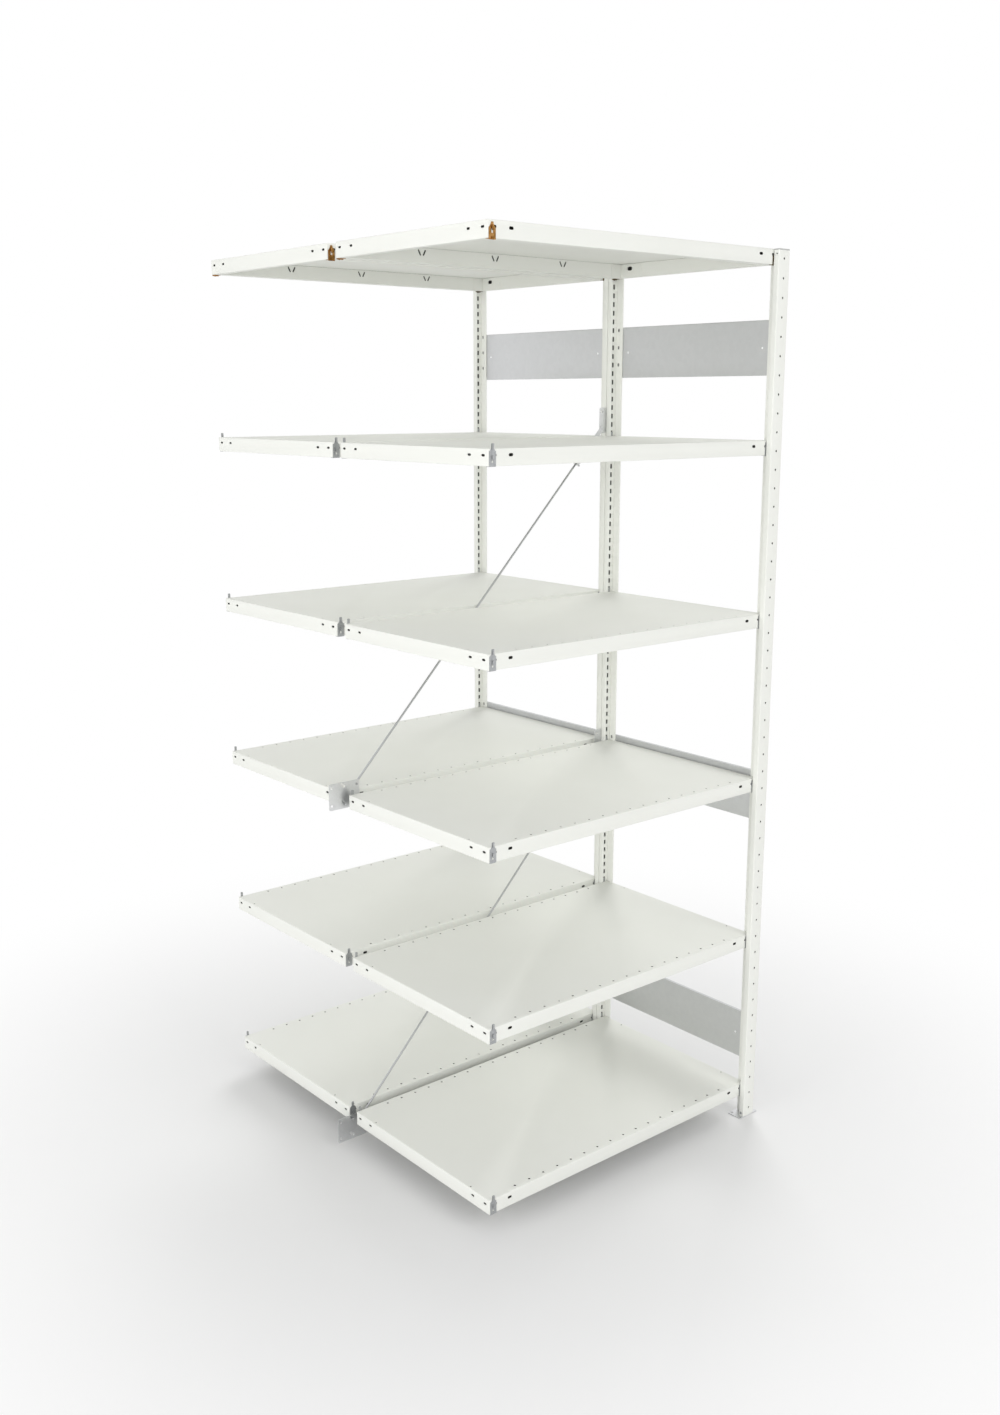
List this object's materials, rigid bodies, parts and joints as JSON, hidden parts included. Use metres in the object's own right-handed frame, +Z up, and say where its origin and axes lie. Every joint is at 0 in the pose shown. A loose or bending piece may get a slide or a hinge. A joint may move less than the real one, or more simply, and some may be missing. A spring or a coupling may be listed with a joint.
{
  "type": "shelving unit",
  "caption": "Double-sided add-on bay of clip-together steel shelving: slotted T-posts back to back at one end, folded perforated shelves on hook clips, diagonal rod bracing.",
  "frame": {"origin": "on the floor, at the middle of the bay's overall length and depth", "axes": "+X along the shelves from the free end to the uprights, +Y from the front row to the back row, +Z up"},
  "size_m": [1.0924, 1.2792, 2.5],
  "materials": {
    "painted_steel": "powder coated, satin",
    "galvanised_steel": "galvanised, matt",
    "yellow_zinc_steel": "yellow zinc plated",
    "zinc_steel": "bright zinc plated",
    "grey_plastic": "moulded, fine texture"
  },
  "bodies": {
    "root": {"upright_front": "painted_steel", "cap_front": "grey_plastic", "foot_front": "zinc_steel", "upright_middle_front": "painted_steel", "cap_middle_front": "grey_plastic", "foot_middle_front": "zinc_steel", "upright_middle_back": "painted_steel", "cap_middle_back": "grey_plastic", "foot_middle_back": "zinc_steel", "upright_back": "painted_steel", "cap_back": "grey_plastic", "foot_back": "zinc_steel", "foot_screws": "zinc_steel", "free_clips_1_front": "galvanised_steel", "free_clips_1_back": "galvanised_steel", "post_clips_1": "galvanised_steel", "free_clips_2_front": "galvanised_steel", "free_clips_2_back": "galvanised_steel", "post_clips_2": "galvanised_steel", "free_clips_3_front": "galvanised_steel", "free_clips_3_back": "galvanised_steel", "post_clips_3": "galvanised_steel", "free_clips_4_front": "galvanised_steel", "free_clips_4_back": "galvanised_steel", "post_clips_4": "galvanised_steel", "free_clips_5_front": "galvanised_steel", "free_clips_5_back": "galvanised_steel", "post_clips_5": "galvanised_steel", "free_clips_6_front": "yellow_zinc_steel", "free_clips_6_back": "yellow_zinc_steel", "post_clips_6": "yellow_zinc_steel", "panel_lower_front": "galvanised_steel", "panel_lower_back": "galvanised_steel", "panel_middle_front": "galvanised_steel", "panel_middle_back": "galvanised_steel", "panel_upper_front": "galvanised_steel", "panel_upper_back": "galvanised_steel", "brace_plate_upper_right": "zinc_steel", "brace_plate_upper_left": "zinc_steel", "brace_rod_upper": "zinc_steel", "rod_strap_upper": "zinc_steel", "brace_plate_lower_right": "zinc_steel", "brace_plate_lower_left": "zinc_steel", "brace_rod_lower": "zinc_steel", "rod_strap_lower": "zinc_steel", "frame_bolts": "zinc_steel"},
    "shelf_1_front": {"shelf_1_front": "painted_steel"},
    "shelf_1_back": {"shelf_1_back": "painted_steel"},
    "shelf_2_front": {"shelf_2_front": "painted_steel"},
    "shelf_2_back": {"shelf_2_back": "painted_steel"},
    "shelf_3_front": {"shelf_3_front": "painted_steel"},
    "shelf_3_back": {"shelf_3_back": "painted_steel"},
    "shelf_4_front": {"shelf_4_front": "painted_steel"},
    "shelf_4_back": {"shelf_4_back": "painted_steel"},
    "shelf_5_front": {"shelf_5_front": "painted_steel"},
    "shelf_5_back": {"shelf_5_back": "painted_steel"},
    "shelf_6_front": {"shelf_6_front": "painted_steel"},
    "shelf_6_back": {"shelf_6_back": "painted_steel"},
    "tension_nut_upper": {"tension_nut_upper": "zinc_steel"},
    "tension_nut_lower": {"tension_nut_lower": "zinc_steel"}
  },
  "joints": [
    {"name": "shelf_1_front_lift", "type": "slide", "parent": "root", "child": "shelf_1_front", "axis": [0, 0, 1], "range_m": [0, 0.055]},
    {"name": "shelf_1_back_lift", "type": "slide", "parent": "root", "child": "shelf_1_back", "axis": [0, 0, 1], "range_m": [0, 0.055]},
    {"name": "shelf_2_front_lift", "type": "slide", "parent": "root", "child": "shelf_2_front", "axis": [0, 0, 1], "range_m": [0, 0.055]},
    {"name": "shelf_2_back_lift", "type": "slide", "parent": "root", "child": "shelf_2_back", "axis": [0, 0, 1], "range_m": [0, 0.055]},
    {"name": "shelf_3_front_lift", "type": "slide", "parent": "root", "child": "shelf_3_front", "axis": [0, 0, 1], "range_m": [0, 0.055]},
    {"name": "shelf_3_back_lift", "type": "slide", "parent": "root", "child": "shelf_3_back", "axis": [0, 0, 1], "range_m": [0, 0.055]},
    {"name": "shelf_4_front_lift", "type": "slide", "parent": "root", "child": "shelf_4_front", "axis": [0, 0, 1], "range_m": [0, 0.055]},
    {"name": "shelf_4_back_lift", "type": "slide", "parent": "root", "child": "shelf_4_back", "axis": [0, 0, 1], "range_m": [0, 0.055]},
    {"name": "shelf_5_front_lift", "type": "slide", "parent": "root", "child": "shelf_5_front", "axis": [0, 0, 1], "range_m": [0, 0.055]},
    {"name": "shelf_5_back_lift", "type": "slide", "parent": "root", "child": "shelf_5_back", "axis": [0, 0, 1], "range_m": [0, 0.055]},
    {"name": "shelf_6_front_lift", "type": "slide", "parent": "root", "child": "shelf_6_front", "axis": [0, 0, 1], "range_m": [0, 0.055]},
    {"name": "shelf_6_back_lift", "type": "slide", "parent": "root", "child": "shelf_6_back", "axis": [0, 0, 1], "range_m": [0, 0.055]},
    {"name": "tension_nut_upper_turn", "type": "hinge", "parent": "root", "child": "tension_nut_upper", "pos_m": [0.36404, 0.00575, 1.92574], "axis": [-0.6958, 0, -0.7182], "continuous": true},
    {"name": "tension_nut_lower_turn", "type": "hinge", "parent": "root", "child": "tension_nut_lower", "pos_m": [0.36404, 0.00575, 0.92574], "axis": [-0.6958, 0, -0.7182], "continuous": true}
  ]
}
